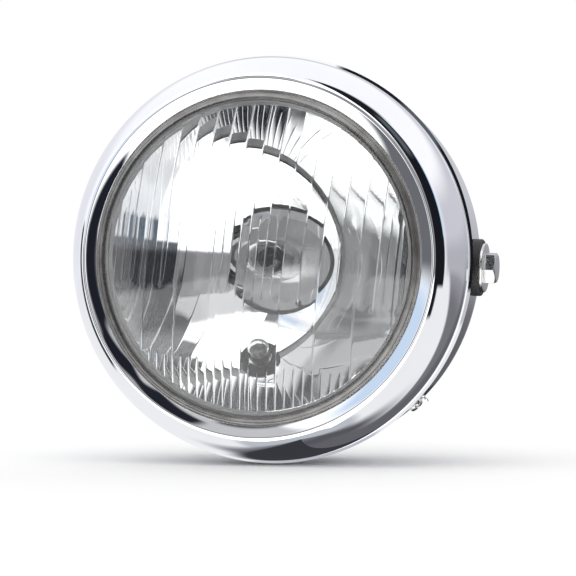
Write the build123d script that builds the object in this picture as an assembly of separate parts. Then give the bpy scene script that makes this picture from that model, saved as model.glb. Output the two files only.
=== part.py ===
from build123d import *
from math import asin, ceil, cos, degrees, floor, radians, sin, sqrt, tan
import os

# Millimetres. The lamp faces -Y, its axis is the Y axis and the side bolts lie on the X axis.

# Rim
rim_sheet = 1.0
rim_depth = 27.7
rim_side_step = 10.7
rim_side_radius = 30.2
rim_crest_round = 2.2
rim_dish_width = 5.8
rim_dish = 1.8
rim_bead_radius = 1.2
rim_bead_step = 0.3
rim_setback = 23.5

# Housing
housing_sheet = 1.0
housing_overlap = 5.0
housing_straight = 33.0
housing_shoulder = 39.3
housing_shoulder_angle = 75.0
rim_to_housing = 0.6

# Side bolts with their washers and nuts
bolt_radius = 3.95
bolt_reach = 20.0
bolt_head_width = 13.0
bolt_head_height = 5.3
bolt_face_inset = 0.5
bolt_chamfer_angle = 30.0
bolt_head_turn = 38.0
bolt_hole_clearance = 0.35
nut_clearance = 0.1
nut_height = 6.5
nut_room = 0.5
flat_washer_radius = 11.2
flat_washer_thickness = 1.5
rubber_washer_radius = 13.0
rubber_washer_thickness = 3.0
pad_rise = 0.5
pad_sheet = 1.2

# Rim screws, lugs and hook
screw_angle = 43.5
screw_setback = 14.5
screw_radius = 1.95
screw_length = 10.0
screw_head_radius = 3.6
screw_head_height = 2.4
screw_head_round = 1.7
screw_slot_width = 1.0
screw_slot_depth = 1.1
screw_hole_clearance = 0.25
clip_nut_width = 11.0
clip_nut_thickness = 2.4
lug_width = 10.0
lug_thickness = 1.0
lug_tail = 6.0
lug_ear_height = 2.8
hook_width = 12.0
hook_thickness = 0.8
hook_reach = 14.0
hook_lead = 3.0

# Lens
lens_radius = 71.6
lens_border = 3.5
lens_dome_height = 16.0
lens_stand_out = 2.5
lens_thickness = 4.5
lens_flange_cover = 3.4
lens_flange_thickness = 3.5
lens_wall_gap = 0.5
lens_shoulder_round = 2.4
flute_border = 3.0
flute_pitch = 8.0
flute_depth = 0.12
fine_pitch = 4.0
fine_depth = 0.05
panel_pitch = 16.0
panel_depth = 0.08
fine_middle_half = 16.0
fine_edge_width = 12.0
top_edge_height = 16.5
top_edge_slope = 0.122
panel_top = -16.8
panel_bottom = -47.0
flute_allowance = 0.6
field_margin = 1.0
light_unit_turn = 4.0

# Seal
seal_wall = 1.5
seal_leg = 1.0
seal_lens_gap = 0.8

# Reflector
focal_length = 28.0
reflector_sheet = 0.8
reflector_border = 3.7
neck_length = 4.0
neck_margin = 2.5
bulb_seat_width = 2.0
dish_points = 12

# Main bulb
bulb_length = 27.0
bulb_step = 1.8
bulb_tip_round = 4.8
bulb_collar_radius = 10.6
bulb_collar_length = 7.0
bulb_flange_radius = 21.5
bulb_flange_thickness = 1.2
bulb_notch = 3.0
bulb_barrel_radius = 11.0
bulb_barrel_length = 10.0
terminal_width = 7.8
terminal_thickness = 0.8
terminal_length = 14.0
terminal_offset = 7.2
lock_ring_sheet = 1.0
lock_ring_play = 2.0
lock_ring_gap = 0.3
lock_ring_skirt = 5.4
boot_wall = 2.0
boot_gap = 0.3
boot_skirt = 7.0
boot_taper = 10.5
boot_nose_radius = 18.0
boot_end_wall = 2.5
boot_slot_gap = 0.2

# Parking bulb
parking_radius = 46.0
parking_grommet_sleeve = 1.0
parking_grommet_flange = 2.3
parking_grommet_wall = 1.2
parking_fit = 0.3
parking_holder_radius = 4.9
parking_holder_back = 14.0
parking_holder_lip = 2.5
parking_holder_lip_thickness = 1.4
parking_bulb_step = 0.2
parking_bulb_length = 10.5
parking_tip_round = 4.2

# Light unit clips
clip_angles = (30.0, 150.0, 210.0, 330.0)
clip_width = 11.0
clip_sheet = 0.8
clip_foot = 4.0
clip_rise = 8.0
clip_wall_gap = 0.4

# Cable grommet
cable_bore_radius = 6.5
cable_sleeve = 3.2
cable_flange_width = 4.0
cable_flange_thickness = 3.0
cable_fit = 0.3

# Radii that follow from the lens outwards
rim_lip_radius = lens_radius + lens_border
lens_wall_radius = rim_lip_radius - lens_wall_gap
lens_flange_radius = rim_lip_radius + lens_flange_cover
rim_crest_radius = rim_lip_radius + rim_dish_width
rim_rear_radius = rim_crest_radius + rim_side_step
housing_radius = rim_rear_radius - rim_sheet - rim_to_housing
flute_field_radius = lens_radius - flute_border
reflector_mouth = lens_radius - reflector_border
neck_radius = bulb_flange_radius + neck_margin
bulb_hole_radius = bulb_flange_radius - bulb_seat_width
bulb_radius = bulb_collar_radius - bulb_step
lock_ring_hole = bulb_barrel_radius + lock_ring_play
head_corner = bolt_head_width / sqrt(3)
pad_radius = head_corner + nut_room + housing_sheet
parking_hole_radius = parking_holder_radius + parking_grommet_sleeve + 2 * parking_fit
cable_hole_radius = cable_bore_radius + cable_sleeve + cable_fit
cable_flange_radius = cable_hole_radius + cable_flange_width

# Stations along the lamp axis
rear_edge = -rim_setback
crest = rear_edge - rim_depth
lip = crest + rim_dish
housing_front = rear_edge - housing_overlap
shoulder_start = rear_edge + housing_straight
shoulder_turn = radians(housing_shoulder_angle)
seal_front = lip + rim_sheet
flange_front = seal_front + seal_leg
flange_back = flange_front + lens_flange_thickness
dish_back = flange_back + reflector_sheet
seal_back = dish_back + seal_leg
lens_edge = lip - lens_stand_out
lens_apex = lens_edge - lens_dome_height
dome_radius = (lens_radius**2 + lens_dome_height**2) / (2 * lens_dome_height)
dome_centre = lens_apex + dome_radius
vertex = flange_back + reflector_mouth**2 / (4 * focal_length)
neck_start = vertex - neck_radius**2 / (4 * focal_length)
seat_front = neck_start + neck_length
seat_back = seat_front + reflector_sheet
barrel_start = seat_back + bulb_flange_thickness
barrel_end = barrel_start + bulb_barrel_length
pad_face = housing_radius + pad_rise
rubber_face = pad_face + rubber_washer_thickness
washer_face = rubber_face + flat_washer_thickness
unit_turn = Rot(0, light_unit_turn, 0)
through = 4 * rim_rear_radius


def turned(*points):
    profile = make_face(Polyline(*points, close=True))
    return revolve(profile, Axis.Y)


def turned_from(*edges):
    return revolve(make_face(Curve() + list(edges)), Axis.Y)


def across(radius, start, end):
    rod = Cylinder(radius, end - start, align=(Align.CENTER, Align.CENTER, Align.MIN))
    return Pos(start, 0, 0) * Rot(0, 90, 0) * rod


def along(radius, start, end):
    rod = Cylinder(radius, end - start, align=(Align.CENTER, Align.CENTER, Align.MIN))
    return Pos(0, start, 0) * Rot(-90, 0, 0) * rod


def left_of(shape):
    return mirror(shape, Plane.YZ)


def round_axis(angle):
    return Rot(0, -angle, 0)


def sector(inner, outer, start, end, width):
    ring = turned((inner, start), (outer, start), (outer, end), (inner, end))
    return ring & Pos(outer, 0, 0) * Box(2 * outer, through, width)


def save(shape, node):
    shape.label = node
    export_step(shape, "parts/" + node + ".step")


os.makedirs("parts", exist_ok=True)


# Housing: a bowl with two bolt pads
def bowl(inset, front):
    radius = housing_radius - inset
    bend = housing_shoulder - inset
    end_radius = radius - bend * (1 - cos(shoulder_turn))
    end_depth = shoulder_start + bend * sin(shoulder_turn)
    back_bend = end_radius / cos(shoulder_turn)
    back_half = (radians(90) - shoulder_turn) / 2
    back_depth = end_depth + back_bend * (1 - sin(shoulder_turn))
    half_turn = shoulder_turn / 2
    bend_middle = (radius - bend * (1 - cos(half_turn)), shoulder_start + bend * sin(half_turn))
    back_middle = (back_bend * sin(back_half), back_depth - back_bend * (1 - cos(back_half)))
    return turned_from(
        Line((0, front), (radius, front)),
        Line((radius, front), (radius, shoulder_start)),
        ThreePointArc((radius, shoulder_start), bend_middle, (end_radius, end_depth)),
        ThreePointArc((end_radius, end_depth), back_middle, (0, back_depth)),
        Line((0, back_depth), (0, front)),
    ), back_depth


outer_bowl, back_outside = bowl(0, housing_front)
inner_bowl, back_inside = bowl(housing_sheet, housing_front - 1)
pad = across(pad_radius, housing_radius / 2, pad_face)
pad_hollow = across(pad_radius - housing_sheet, housing_radius / 2, pad_face - pad_sheet)
bolt_hole = across(bolt_radius + bolt_hole_clearance, 0, 2 * housing_radius)
screw_height = rear_edge + screw_setback
screw_hole = Pos(0, screw_height, 0) * across(screw_radius + screw_hole_clearance, 0, 2 * housing_radius)
cable_hole = along(cable_hole_radius, 0, 2 * back_outside)
shell = outer_bowl + pad + left_of(pad)
shell -= inner_bowl + pad_hollow + left_of(pad_hollow)
shell -= bolt_hole + left_of(bolt_hole)
for angle in (-screw_angle, screw_angle - 180):
    shell -= round_axis(angle) * screw_hole
shell -= cable_hole
save(shell, "housing_shell")

# Rim: pressed ring with a rolled rear bead, two screw lugs and a top hook
inner_start = rim_lip_radius - rim_crest_round
cone_slope = rim_dish / (rim_crest_radius - rim_lip_radius)
cone_front = crest + cone_slope * (rim_crest_radius - inner_start)
far_back = rear_edge + 4 * rim_sheet
side_arc = RadiusArc((rim_crest_radius, crest), (rim_rear_radius, rear_edge), -rim_side_radius)
rim_outline = make_face(
    Curve()
    + [
        Line((inner_start, cone_front), (rim_crest_radius, crest)),
        side_arc,
        Line((rim_rear_radius, rear_edge), (rim_rear_radius, far_back)),
        Line((rim_rear_radius, far_back), (inner_start, far_back)),
        Line((inner_start, far_back), (inner_start, cone_front)),
    ]
)
crest_corner = rim_outline.vertices().sort_by(Axis.Y)[0]
rim_outline = fillet(crest_corner, rim_crest_round)
rim_inside = offset(rim_outline, -rim_sheet)
rim_window = Pos(rim_lip_radius, rear_edge) * Rectangle(
    2 * rim_rear_radius, 4 * rim_depth, align=(Align.MIN, Align.MAX)
)
rim_section = (rim_outline - rim_inside) & rim_window
bead_centre = (rim_rear_radius + rim_bead_step, rear_edge + rim_bead_radius)
rim = revolve(rim_section, Axis.Y)
rim += revolve(Pos(*bead_centre) * Circle(rim_bead_radius), Axis.Y)
lug_inner = housing_radius + rim_to_housing
lug_end = screw_height + lug_tail
lug = sector(lug_inner, lug_inner + lug_thickness, rear_edge, lug_end, lug_width)
ear_outer = lug_inner + lug_thickness + lug_ear_height
ear_start = screw_height + screw_head_radius
ear = sector(lug_inner, ear_outer, ear_start, lug_end, lug_thickness)
ear = Pos(0, 0, (lug_width - lug_thickness) / 2) * ear
lug_clip = Box(through, through, lug_width)
lug = (lug + (ear & lug_clip)) - screw_hole
hook_inner = housing_radius - housing_sheet - rim_to_housing - hook_thickness
hook_start = housing_front - hook_lead
arc_centre = side_arc.arc_center
hook_rise = sqrt(rim_side_radius**2 - (hook_start - arc_centre.Y) ** 2)
hook_root = arc_centre.X + hook_rise - rim_sheet / 2
hook = sector(hook_inner, hook_root, hook_start, hook_start + hook_thickness, hook_width)
hook += sector(hook_inner, hook_inner + hook_thickness, hook_start, hook_start + hook_reach, hook_width)
rim += round_axis(-screw_angle) * lug
rim += left_of(round_axis(-screw_angle) * lug)
rim += round_axis(90) * hook
save(rim, "rim")


# Lens: glass dome with upright flutes on its inner face
def fluted_core(edges, depth):
    centre_gap = dome_radius - lens_thickness
    arcs = []
    for start, end in zip(edges[:-1], edges[1:]):
        middle = (start + end) / 2
        first = (start, dome_centre - sqrt(centre_gap**2 - start**2) - depth)
        second = (middle, dome_centre - sqrt(centre_gap**2 - middle**2))
        third = (end, dome_centre - sqrt(centre_gap**2 - end**2) - depth)
        arcs.append(ThreePointArc(first, second, third))
    left, right = arcs[0] @ 0, arcs[-1] @ 1
    base = max(flange_back, left.Y, right.Y) + lens_thickness
    walls = [
        Line(right, (right.X, base)),
        Line((right.X, base), (left.X, base)),
        Line((left.X, base), left),
    ]
    sweep = degrees(asin(lens_radius / centre_gap))
    hinge = Axis((0, dome_centre, 0), (1, 0, 0))
    face = make_face(Curve() + arcs + walls).rotate(hinge, -sweep)
    return revolve(face, hinge, 2 * sweep)


def steps(start, end, pitch):
    count = ceil(round((end - start) / pitch, 3))
    return [start + pitch * index for index in range(count + 1)]


def across_field(pitch):
    reach = pitch * ceil(flute_field_radius / pitch)
    return steps(-reach, reach, pitch)


def upright(points):
    face = make_face(Polyline(*[(x, 0, z) for x, z in points], close=True))
    return extrude(face, 2 * dome_radius, dir=(0, 1, 0), both=True)


lens_blank = turned_from(
    ThreePointArc(
        (0, lens_apex),
        (lens_radius / 2, dome_centre - sqrt(dome_radius**2 - lens_radius**2 / 4)),
        (lens_radius, lens_edge),
    ),
    Line((lens_radius, lens_edge), (lens_wall_radius, lens_edge + lens_shoulder_round)),
    Line((lens_wall_radius, lens_edge + lens_shoulder_round), (lens_wall_radius, flange_front)),
    Line((lens_wall_radius, flange_front), (lens_flange_radius, flange_front)),
    Line((lens_flange_radius, flange_front), (lens_flange_radius, flange_back)),
    Line((lens_flange_radius, flange_back), (0, flange_back)),
    Line((0, flange_back), (0, lens_apex)),
)
thick_dome = dome_radius - lens_thickness - flute_allowance
hollow_side = along(flute_field_radius + field_margin, lens_apex, flange_back)
hollow = Pos(0, dome_centre, 0) * Sphere(thick_dome) & hollow_side
lens = lens_blank - hollow
span = lens_radius + panel_pitch
top_side = top_edge_height + top_edge_slope * span
field = along(flute_field_radius, lens_apex, flange_back)
upper_zone = upright([(-span, top_side), (0, top_edge_height), (span, top_side), (span, span), (-span, span)])
middle_zone = upright(
    [(-span, panel_top), (span, panel_top), (span, top_side), (0, top_edge_height), (-span, top_side)]
)
panel_zone = upright([(-span, panel_bottom), (span, panel_bottom), (span, panel_top), (-span, panel_top)])
lower_zone = upright([(-span, -span), (span, -span), (span, panel_bottom), (-span, panel_bottom)])
side_flutes = floor((flute_field_radius - fine_edge_width - fine_middle_half) / flute_pitch)
fine_edge_start = fine_middle_half + flute_pitch * side_flutes
inner_edges = steps(-fine_middle_half, fine_middle_half, fine_pitch)
side_edges = steps(fine_middle_half, fine_edge_start, flute_pitch)
rim_edges = steps(fine_edge_start, flute_field_radius, fine_pitch)
lens -= fluted_core(across_field(flute_pitch), flute_depth) & upper_zone & field
lens -= fluted_core(inner_edges, fine_depth) & middle_zone & field
for zone_edges, depth in ((side_edges, flute_depth), (rim_edges, fine_depth)):
    core = fluted_core(zone_edges, depth) & middle_zone & field
    lens -= core
    lens -= left_of(core)
lens -= fluted_core(across_field(panel_pitch), panel_depth) & panel_zone & field
lens -= fluted_core(across_field(fine_pitch), fine_depth) & lower_zone & field
save(unit_turn * lens, "lens")

# Seal: rubber channel round the edges of lens and reflector
seal_outer = lens_flange_radius + seal_wall
seal_inner = lens_wall_radius + seal_lens_gap
lens_seal = turned(
    (seal_inner, seal_front),
    (seal_outer, seal_front),
    (seal_outer, seal_back),
    (seal_inner, seal_back),
    (seal_inner, dish_back),
    (lens_flange_radius, dish_back),
    (lens_flange_radius, flange_front),
    (seal_inner, flange_front),
)
save(lens_seal, "lens_seal")


# Reflector: dish with a round neck for the bulb
def dish_curve(inner, outer, shift):
    radii = [outer + (inner - outer) * index / dish_points for index in range(dish_points + 1)]
    return Spline(*[(radius, vertex + shift - radius**2 / (4 * focal_length)) for radius in radii])


neck_outer = neck_radius + reflector_sheet
steep = sqrt(1 + (reflector_mouth / (2 * focal_length)) ** 2)
dish_shift = reflector_sheet * steep
back_mouth = sqrt(4 * focal_length * (vertex + dish_shift - dish_back))
front_curve = dish_curve(neck_radius, reflector_mouth, 0)
back_curve = dish_curve(neck_outer, back_mouth, dish_shift)
reflector = turned_from(
    Line((lens_flange_radius, flange_back), (reflector_mouth, flange_back)),
    front_curve,
    Line(front_curve @ 1, (neck_radius, seat_front)),
    Line((neck_radius, seat_front), (bulb_hole_radius, seat_front)),
    Line((bulb_hole_radius, seat_front), (bulb_hole_radius, seat_back)),
    Line((bulb_hole_radius, seat_back), (neck_outer, seat_back)),
    Line((neck_outer, seat_back), back_curve @ 1),
    back_curve,
    Line(back_curve @ 0, (lens_flange_radius, dish_back)),
    Line((lens_flange_radius, dish_back), (lens_flange_radius, flange_back)),
)
parking_depth = vertex - parking_radius**2 / (4 * focal_length)
parking_plane = Plane(
    origin=(0, parking_depth, -parking_radius),
    x_dir=(1, 0, 0),
    z_dir=(0, -2 * focal_length, parking_radius),
)
parking_place = parking_plane.location
reflector -= parking_place * Cylinder(parking_hole_radius, 2 * parking_hole_radius)
save(unit_turn * reflector, "reflector")


# Main bulb
def disc(radius, start, end):
    return Pos(0, 0, start) * Cylinder(radius, end - start, align=(Align.CENTER, Align.CENTER, Align.MIN))


collar_front = seat_back - bulb_collar_length
glass_tip = collar_front - bulb_length
bulb_glass = along(bulb_radius, glass_tip, collar_front)
tip_edge = bulb_glass.edges().sort_by(Axis.Y)[0]
bulb_glass = fillet(tip_edge, bulb_tip_round)
save(unit_turn * bulb_glass, "bulb_glass")
bulb_base = along(bulb_collar_radius, collar_front, seat_back)
bulb_base += along(bulb_flange_radius, seat_back, barrel_start)
bulb_base += along(bulb_barrel_radius, barrel_start, barrel_end)
for angle in (90, 210, 330):
    bulb_base -= round_axis(angle) * Pos(bulb_flange_radius, 0, 0) * Box(bulb_notch, through, 2 * bulb_notch)
save(unit_turn * bulb_base, "bulb_base")
blade = Pos(terminal_offset, barrel_end, 0) * Box(
    terminal_thickness, terminal_length, terminal_width, align=(Align.CENTER, Align.MIN, Align.CENTER)
)
blade_slot = Pos(terminal_offset, 0, 0) * Box(
    terminal_thickness + 2 * boot_slot_gap, through, terminal_width + 2 * boot_slot_gap
)
blades = [unit_turn * round_axis(angle) * blade for angle in (0, 90, 180)]
save(Compound(children=blades), "bulb_terminals")
skirt_inner = neck_outer + lock_ring_gap
skirt_outer = skirt_inner + lock_ring_sheet
ring_back = barrel_start + lock_ring_sheet
bulb_lock_ring = turned(
    (lock_ring_hole, barrel_start),
    (skirt_inner, barrel_start),
    (skirt_inner, ring_back - lock_ring_skirt),
    (skirt_outer, ring_back - lock_ring_skirt),
    (skirt_outer, ring_back),
    (lock_ring_hole, ring_back),
)
save(unit_turn * bulb_lock_ring, "bulb_lock_ring")
boot_inner = skirt_outer + boot_gap
boot_outer = boot_inner + boot_wall
boot_front = ring_back - boot_skirt + boot_wall
boot_knee = ring_back + boot_wall
boot_end = boot_knee + boot_taper
bulb_boot = turned(
    (boot_inner, boot_front),
    (boot_outer, boot_front),
    (boot_outer, boot_knee),
    (boot_nose_radius, boot_end),
    (boot_nose_radius, boot_end + boot_end_wall),
    (0, boot_end + boot_end_wall),
    (0, boot_end),
    (boot_nose_radius - boot_wall, boot_end),
    (boot_inner, boot_knee),
)
for angle in (0, 90, 180):
    bulb_boot -= round_axis(angle) * blade_slot
save(unit_turn * bulb_boot, "bulb_boot")

# Parking bulb with its holder and rubber
flange_reach = parking_hole_radius + parking_grommet_flange
parking_slope = sqrt(1 + (parking_radius / (2 * focal_length)) ** 2)
dish_rise = flange_reach**2 / (4 * focal_length * parking_slope)
groove_front = dish_rise + parking_fit
groove_back = -dish_shift / parking_slope - parking_fit
grommet_front = groove_front + parking_grommet_wall
grommet_back = groove_back - parking_grommet_wall
parking_grommet = disc(flange_reach, grommet_back, groove_back)
parking_grommet += disc(parking_hole_radius - parking_fit, groove_back, groove_front)
parking_grommet += disc(flange_reach, groove_front, grommet_front)
parking_grommet -= Cylinder(parking_holder_radius + parking_fit, through)
save(unit_turn * parking_place * parking_grommet, "parking_grommet")
holder_end = grommet_back - parking_holder_back
parking_holder = disc(parking_holder_radius, holder_end, grommet_front)
lip_reach = parking_holder_radius + parking_holder_lip
parking_holder += disc(lip_reach, grommet_back - parking_holder_lip_thickness, grommet_back)
save(unit_turn * parking_place * parking_holder, "parking_holder")
parking_bulb_radius = parking_holder_radius - parking_bulb_step
parking_bulb = disc(parking_bulb_radius, grommet_front, grommet_front + parking_bulb_length)
parking_tip = parking_bulb.edges().sort_by(Axis.Z)[-1]
parking_bulb = fillet(parking_tip, parking_tip_round)
save(unit_turn * parking_place * parking_bulb, "parking_bulb")

# Light unit clips: bent springs between the rim side and the back of the seal
clip_top = seal_back + clip_sheet + clip_rise
clip_low = abs(clip_top - clip_sheet - arc_centre.Y)
clip_reach = arc_centre.X + sqrt((rim_side_radius - rim_sheet) ** 2 - clip_low**2)
clip_outer = clip_reach - clip_wall_gap
clip_knee = seal_outer + clip_sheet
clip_section = make_face(
    Polyline(
        (seal_outer - clip_foot, seal_back),
        (clip_knee, seal_back),
        (clip_outer, clip_top - clip_sheet),
        (clip_outer, clip_top),
        (clip_knee, seal_back + clip_sheet),
        (seal_outer - clip_foot, seal_back + clip_sheet),
        close=True,
    )
)
clip_block = Pos(rim_rear_radius, 0, 0) * Box(2 * rim_rear_radius, through, clip_width)
clip = revolve(clip_section, Axis.Y) & clip_block
save(Compound(children=[round_axis(angle) * clip for angle in clip_angles]), "unit_clips")


# Side bolts with washers and weld nuts
def hex_bar(width, start, end):
    bar = extrude(RegularPolygon(width / 2, 6, major_radius=False), end - start)
    return Pos(start, 0, 0) * Rot(0, 90, 0) * Rot(0, 0, bolt_head_turn) * bar


head_end = washer_face + bolt_head_height
bolt_face_radius = bolt_head_width / 2 - bolt_face_inset
chamfer_height = (head_corner - bolt_face_radius) * tan(radians(bolt_chamfer_angle))
chamfer_profile = make_face(
    Polyline(
        (washer_face, 0),
        (washer_face, head_corner),
        (head_end - chamfer_height, head_corner),
        (head_end, bolt_face_radius),
        (head_end, 0),
        close=True,
    )
)
bolt_head = hex_bar(bolt_head_width, washer_face, head_end) & revolve(chamfer_profile, Axis.X)
side_bolt = bolt_head + across(bolt_radius, washer_face - bolt_reach, washer_face)
flat_washer = across(flat_washer_radius, rubber_face, washer_face)
flat_washer -= bolt_hole
rubber_washer = across(rubber_washer_radius, housing_radius / 2, rubber_face)
rubber_cut = bowl(-rim_to_housing / 2, housing_front)[0]
rubber_washer -= rubber_cut + across(pad_radius + rim_to_housing / 2, housing_radius / 2, pad_face)
rubber_washer -= bolt_hole
nut_face = pad_face - pad_sheet
weld_nut = hex_bar(bolt_head_width, nut_face - nut_height, nut_face)
weld_nut -= across(bolt_radius + nut_clearance, 0, 2 * housing_radius)
for shape, node in (
    (side_bolt, "side_bolt"),
    (flat_washer, "flat_washer"),
    (rubber_washer, "rubber_washer"),
    (weld_nut, "weld_nut"),
):
    save(shape, node + "_right")
    save(left_of(shape), node + "_left")

# Rim screws and their nut plates
screw_seat = lug_inner + lug_thickness
screw = across(screw_radius, screw_seat - screw_length, screw_seat)
screw_head = across(screw_head_radius, screw_seat, screw_seat + screw_head_height)
screw_head = fillet(screw_head.edges().sort_by(Axis.X)[-1], screw_head_round)
slot_floor = screw_seat + screw_head_height - screw_slot_depth
screw_head -= Pos(slot_floor, 0, 0) * Box(
    through, 4 * screw_head_radius, screw_slot_width, align=(Align.MIN, Align.CENTER, Align.CENTER)
)
rim_screw = Pos(0, screw_height, 0) * (screw + screw_head)
inner_shoulder = housing_shoulder - housing_sheet
plate_past = max(0, screw_height + clip_nut_width / 2 - shoulder_start)
plate_drop = inner_shoulder - sqrt(inner_shoulder**2 - plate_past**2)
plate_radius = housing_radius - housing_sheet - plate_drop
plate_face = sqrt(plate_radius**2 - clip_nut_width**2 / 4)
clip_nut = Pos(plate_face, screw_height, 0) * Box(
    clip_nut_thickness, clip_nut_width, clip_nut_width, align=(Align.MAX, Align.CENTER, Align.CENTER)
)
clip_nut -= Pos(0, screw_height, 0) * across(screw_radius + nut_clearance, 0, 2 * housing_radius)
for shape, node in ((rim_screw, "rim_screw"), (clip_nut, "clip_nut")):
    placed = round_axis(-screw_angle) * shape
    save(placed, node + "_right")
    save(left_of(placed), node + "_left")

# Cable grommet in the middle of the back
back_bend = (housing_radius - housing_shoulder * (1 - cos(shoulder_turn))) / cos(shoulder_turn)
flange_drop = back_bend - sqrt(back_bend**2 - cable_flange_radius**2)
cable_inside = back_inside - flange_drop - cable_fit
harness_grommet = along(cable_flange_radius, cable_inside - cable_flange_thickness, cable_inside)
harness_grommet += along(cable_hole_radius - cable_fit, cable_inside, back_outside)
harness_grommet += along(cable_flange_radius, back_outside, back_outside + cable_flange_thickness)
harness_grommet -= along(cable_bore_radius, 0, 2 * back_outside)
save(harness_grommet, "harness_grommet")
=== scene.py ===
from math import acos, atan2, cos, hypot, pi, radians, sin, sqrt, tan

import bmesh
import bpy
from mathutils import Matrix, Vector


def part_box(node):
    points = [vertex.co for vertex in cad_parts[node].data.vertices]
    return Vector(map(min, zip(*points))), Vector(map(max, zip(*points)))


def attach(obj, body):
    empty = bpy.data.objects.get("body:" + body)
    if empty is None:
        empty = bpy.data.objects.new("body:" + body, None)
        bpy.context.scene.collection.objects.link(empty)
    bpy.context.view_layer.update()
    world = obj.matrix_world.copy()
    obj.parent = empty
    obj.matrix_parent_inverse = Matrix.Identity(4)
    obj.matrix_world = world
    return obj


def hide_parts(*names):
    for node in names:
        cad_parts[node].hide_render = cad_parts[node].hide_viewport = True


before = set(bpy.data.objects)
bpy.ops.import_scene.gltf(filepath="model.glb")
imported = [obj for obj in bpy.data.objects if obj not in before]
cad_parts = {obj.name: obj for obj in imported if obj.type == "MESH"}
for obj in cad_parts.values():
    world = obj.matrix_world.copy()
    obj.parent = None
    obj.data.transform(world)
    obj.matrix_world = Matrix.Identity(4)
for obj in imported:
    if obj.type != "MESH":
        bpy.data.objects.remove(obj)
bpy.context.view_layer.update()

mm = 0.001
scene = bpy.context.scene
scene.view_settings.view_transform = "Standard"
print("frame loaded:", len(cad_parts), "solids")


# where the picture is taken from
shot = {
    "aim": (0, -38, 0),  # point of the lamp that the framing is tied to
    "away": 1200,
    "azimuth": 14.93,
    "elevation": -0.53,
    "roll": 2.35,
    "lens": 166.5,
    "right": 11.26,  # how far the picture's middle lies from that point
    "down": 13.33,
}


def setCamera():
    az, el, roll = (radians(shot[key]) for key in ("azimuth", "elevation", "roll"))
    away = Vector((sin(az) * cos(el), -cos(az) * cos(el), sin(el)))
    spot = Vector(shot["aim"]) * mm + away * shot["away"] * mm
    side = Vector((cos(az), sin(az), 0))
    lift = away.cross(side)
    sideRolled = side * cos(roll) + lift * sin(roll)
    liftRolled = lift * cos(roll) - side * sin(roll)
    target = Vector(shot["aim"]) * mm + sideRolled * shot["right"] * mm - liftRolled * shot["down"] * mm
    back = (spot - target).normalized()
    across = liftRolled.cross(back).normalized()
    up = back.cross(across)
    bpy.ops.object.camera_add()
    camera = bpy.context.object
    camera.name = "shotCamera"
    camera.matrix_world = Matrix((across, up, back)).transposed().to_4x4()
    camera.location = spot
    camera.data.lens = shot["lens"]
    camera.data.sensor_width = 36
    camera.data.sensor_fit = "HORIZONTAL"
    camera.data.clip_start = 0.01
    camera.data.clip_end = 50
    scene.camera = camera
    return up


floorUp = setCamera()
print("camera set")


# helpers that select, draw, turn, cut and join
def letGo():
    if bpy.context.mode != "OBJECT":
        bpy.ops.object.mode_set(mode="OBJECT")
    bpy.ops.object.select_all(action="DESELECT")


def takeUp(piece):
    letGo()
    piece.select_set(True)
    bpy.context.view_layer.objects.active = piece


def nameNew(name):
    piece = bpy.context.object
    piece.name = name
    piece.data.name = name
    return piece


def bow(middle, radius, start, end, count):
    # points on an arc, angles in degrees
    points = []
    for index in range(count + 1):
        angle = radians(start + (end - start) * index / count)
        points.append((middle[0] + radius * cos(angle), middle[1] + radius * sin(angle)))
    return points


def soften(points, sizes, count=5):
    # a closed section with its corners rounded
    made = []
    for index, (point, size) in enumerate(zip(points, sizes)):
        if not size:
            made.append(tuple(point))
            continue
        corner = Vector(point)
        back = (Vector(points[index - 1]) - corner).normalized()
        ahead = (Vector(points[(index + 1) % len(points)]) - corner).normalized()
        half = acos(max(-1, min(1, back.dot(ahead)))) / 2
        middle = corner + (back + ahead).normalized() * size / sin(half)
        first = corner + back * size / tan(half) - middle
        turn = pi - 2 * half
        if back.x * ahead.y - back.y * ahead.x > 0:
            turn = -turn
        for step in range(count + 1):
            spot = middle + Matrix.Rotation(turn * step / count, 2) @ first
            made.append((spot.x, spot.y))
    return made


def drawSection(name, points, closed=True):
    # one vertex drawn along a section: radius and depth, or length and radius on the bolt axis
    letGo()
    bpy.ops.mesh.primitive_plane_add(size=mm)
    piece = nameNew(name)
    bpy.ops.object.mode_set(mode="EDIT")
    bpy.ops.mesh.select_all(action="SELECT")
    bpy.ops.mesh.merge(type="CENTER")
    places = [Vector((a, b, 0)) * mm for a, b in points]
    bpy.ops.transform.translate(value=places[0])
    for here, there in zip(places, places[1:]):
        bpy.ops.mesh.extrude_vertices_move(TRANSFORM_OT_translate={"value": there - here})
    if closed:
        mesh = bmesh.from_edit_mesh(piece.data)
        bpy.ops.mesh.select_all(action="DESELECT")
        for vertex in mesh.verts:
            if len(vertex.link_edges) == 1:
                vertex.select_set(True)
        mesh.select_flush_mode()
        bmesh.update_edit_mesh(piece.data)
        bpy.ops.mesh.edge_face_add()
    return piece


def spinRound(piece, steps, axis=(0, 1, 0), angle=2 * pi):
    bpy.ops.object.mode_set(mode="EDIT")
    bpy.ops.mesh.select_all(action="SELECT")
    bpy.ops.mesh.spin(steps=steps, angle=angle, center=(0, 0, 0), axis=axis)
    bpy.ops.mesh.select_all(action="SELECT")
    bpy.ops.mesh.remove_doubles(threshold=0.002 * mm)
    bpy.ops.mesh.normals_make_consistent(inside=False)
    bpy.ops.object.mode_set(mode="OBJECT")
    return piece


def turned(name, points, steps=256, closed=True):
    return spinRound(drawSection(name, points, closed), steps)


def turnedOnX(name, points, steps=96, closed=True):
    return spinRound(drawSection(name, points, closed), steps, axis=(1, 0, 0))


def settle(piece):
    takeUp(piece)
    bpy.ops.object.transform_apply(location=True, rotation=True, scale=True)
    return piece


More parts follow.
